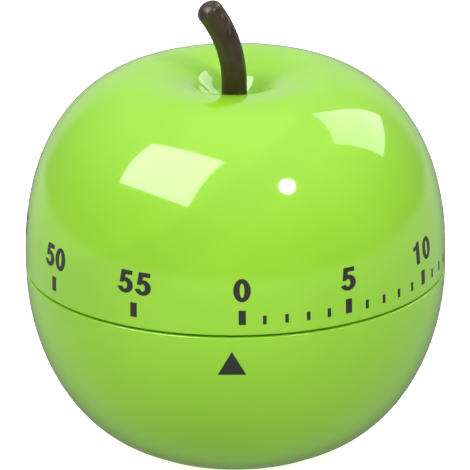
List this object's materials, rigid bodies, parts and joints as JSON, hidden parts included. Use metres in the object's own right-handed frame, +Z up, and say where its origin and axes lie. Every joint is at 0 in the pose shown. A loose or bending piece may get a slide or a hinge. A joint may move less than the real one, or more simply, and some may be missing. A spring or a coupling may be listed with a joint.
{
  "type": "kitchen timer",
  "caption": "Apple-shaped clockwork kitchen timer: the upper half with the stem turns as the dial over a fixed lower half with a pointer.",
  "frame": {"origin": "centre of the foot ring's underside, on the table", "axes": "+Z up along the dial's axis, -Y towards the pointer and the front"},
  "size_m": [0.06, 0.06, 0.0655],
  "materials": {
    "green_plastic": "gloss",
    "brown_plastic": "gloss",
    "rubber": "matte",
    "white_plastic": "satin",
    "spring_steel": "satin",
    "bell_metal": "polished",
    "plate_steel": "satin",
    "turned_steel": "polished",
    "brass": "satin",
    "print_ink": "matte"
  },
  "bodies": {
    "base": {"lower_shell": "green_plastic", "foot_ring": "rubber", "bottom_plate": "plate_steel", "top_plate": "plate_steel", "pillar_1": "brass", "pillar_2": "brass", "pillar_3": "brass", "pillar_4": "brass", "pillar_nuts": "brass", "mount_screws": "turned_steel", "lower_bushing": "brass", "upper_bushing": "brass", "stop_post": "turned_steel", "spring_cup": "white_plastic", "cup_cover": "plate_steel", "cup_screws": "turned_steel", "hammer_spring": "spring_steel", "bell": "bell_metal", "bell_screw": "turned_steel"},
    "dial": {"upper_shell": "green_plastic", "stem": "brown_plastic", "main_arbor": "turned_steel", "arbor_clip": "spring_steel", "stop_arm": "turned_steel", "thrust_washer": "white_plastic", "great_wheel": "brass", "ratchet_wheel": "turned_steel", "click_stud": "turned_steel", "click_spring": "spring_steel", "mainspring": "spring_steel", "strike_cam": "brass"},
    "click": {"click": "turned_steel"},
    "second": {"second_pinion": "turned_steel", "second_wheel": "brass"},
    "third": {"third_pinion": "turned_steel", "third_wheel": "brass"},
    "escape": {"escape_pinion": "turned_steel", "escape_wheel": "brass"},
    "pallet": {"pallet_arbor": "turned_steel", "pallet_anchor": "turned_steel", "balance_bar": "brass"},
    "hammer": {"hammer_arbor": "turned_steel", "hammer_tail": "turned_steel", "hammer_arm": "turned_steel", "hammer_head": "brass"}
  },
  "joints": [
    {"name": "dial_turn", "type": "hinge", "parent": "base", "child": "dial", "pos_m": [0, 0, 0], "axis": [0, 0, 1], "range_deg": [-352.5, 0]},
    {"name": "click_rock", "type": "hinge", "parent": "dial", "child": "click", "pos_m": [0.00678, 0.00529, 0], "axis": [0, 0, 1], "range_deg": [0, 9], "stiffness_Nm_per_rad": 0.002},
    {"name": "second_spin", "type": "hinge", "parent": "base", "child": "second", "pos_m": [-0.01178, 0.0068, 0], "axis": [0, 0, 1], "continuous": true},
    {"name": "third_spin", "type": "hinge", "parent": "base", "child": "third", "pos_m": [-0.00494, 0.0131, 0], "axis": [0, 0, 1], "continuous": true},
    {"name": "escape_spin", "type": "hinge", "parent": "base", "child": "escape", "pos_m": [0.0034, 0.01409, 0], "axis": [0, 0, 1], "continuous": true},
    {"name": "pallet_rock", "type": "hinge", "parent": "base", "child": "pallet", "pos_m": [0.01045, 0.01076, 0], "axis": [0, 0, 1], "range_deg": [-3, 3]},
    {"name": "hammer_swing", "type": "hinge", "parent": "base", "child": "hammer", "pos_m": [0.00453, -0.0169, 0], "axis": [0, 0, 1], "range_deg": [-1.2, 5], "stiffness_Nm_per_rad": 0.01}
  ],
  "couplings": [
    {"joint": "second_spin", "follows": "dial_turn", "ratio": -7.5},
    {"joint": "third_spin", "follows": "dial_turn", "ratio": 50.625},
    {"joint": "escape_spin", "follows": "dial_turn", "ratio": -303.75}
  ]
}
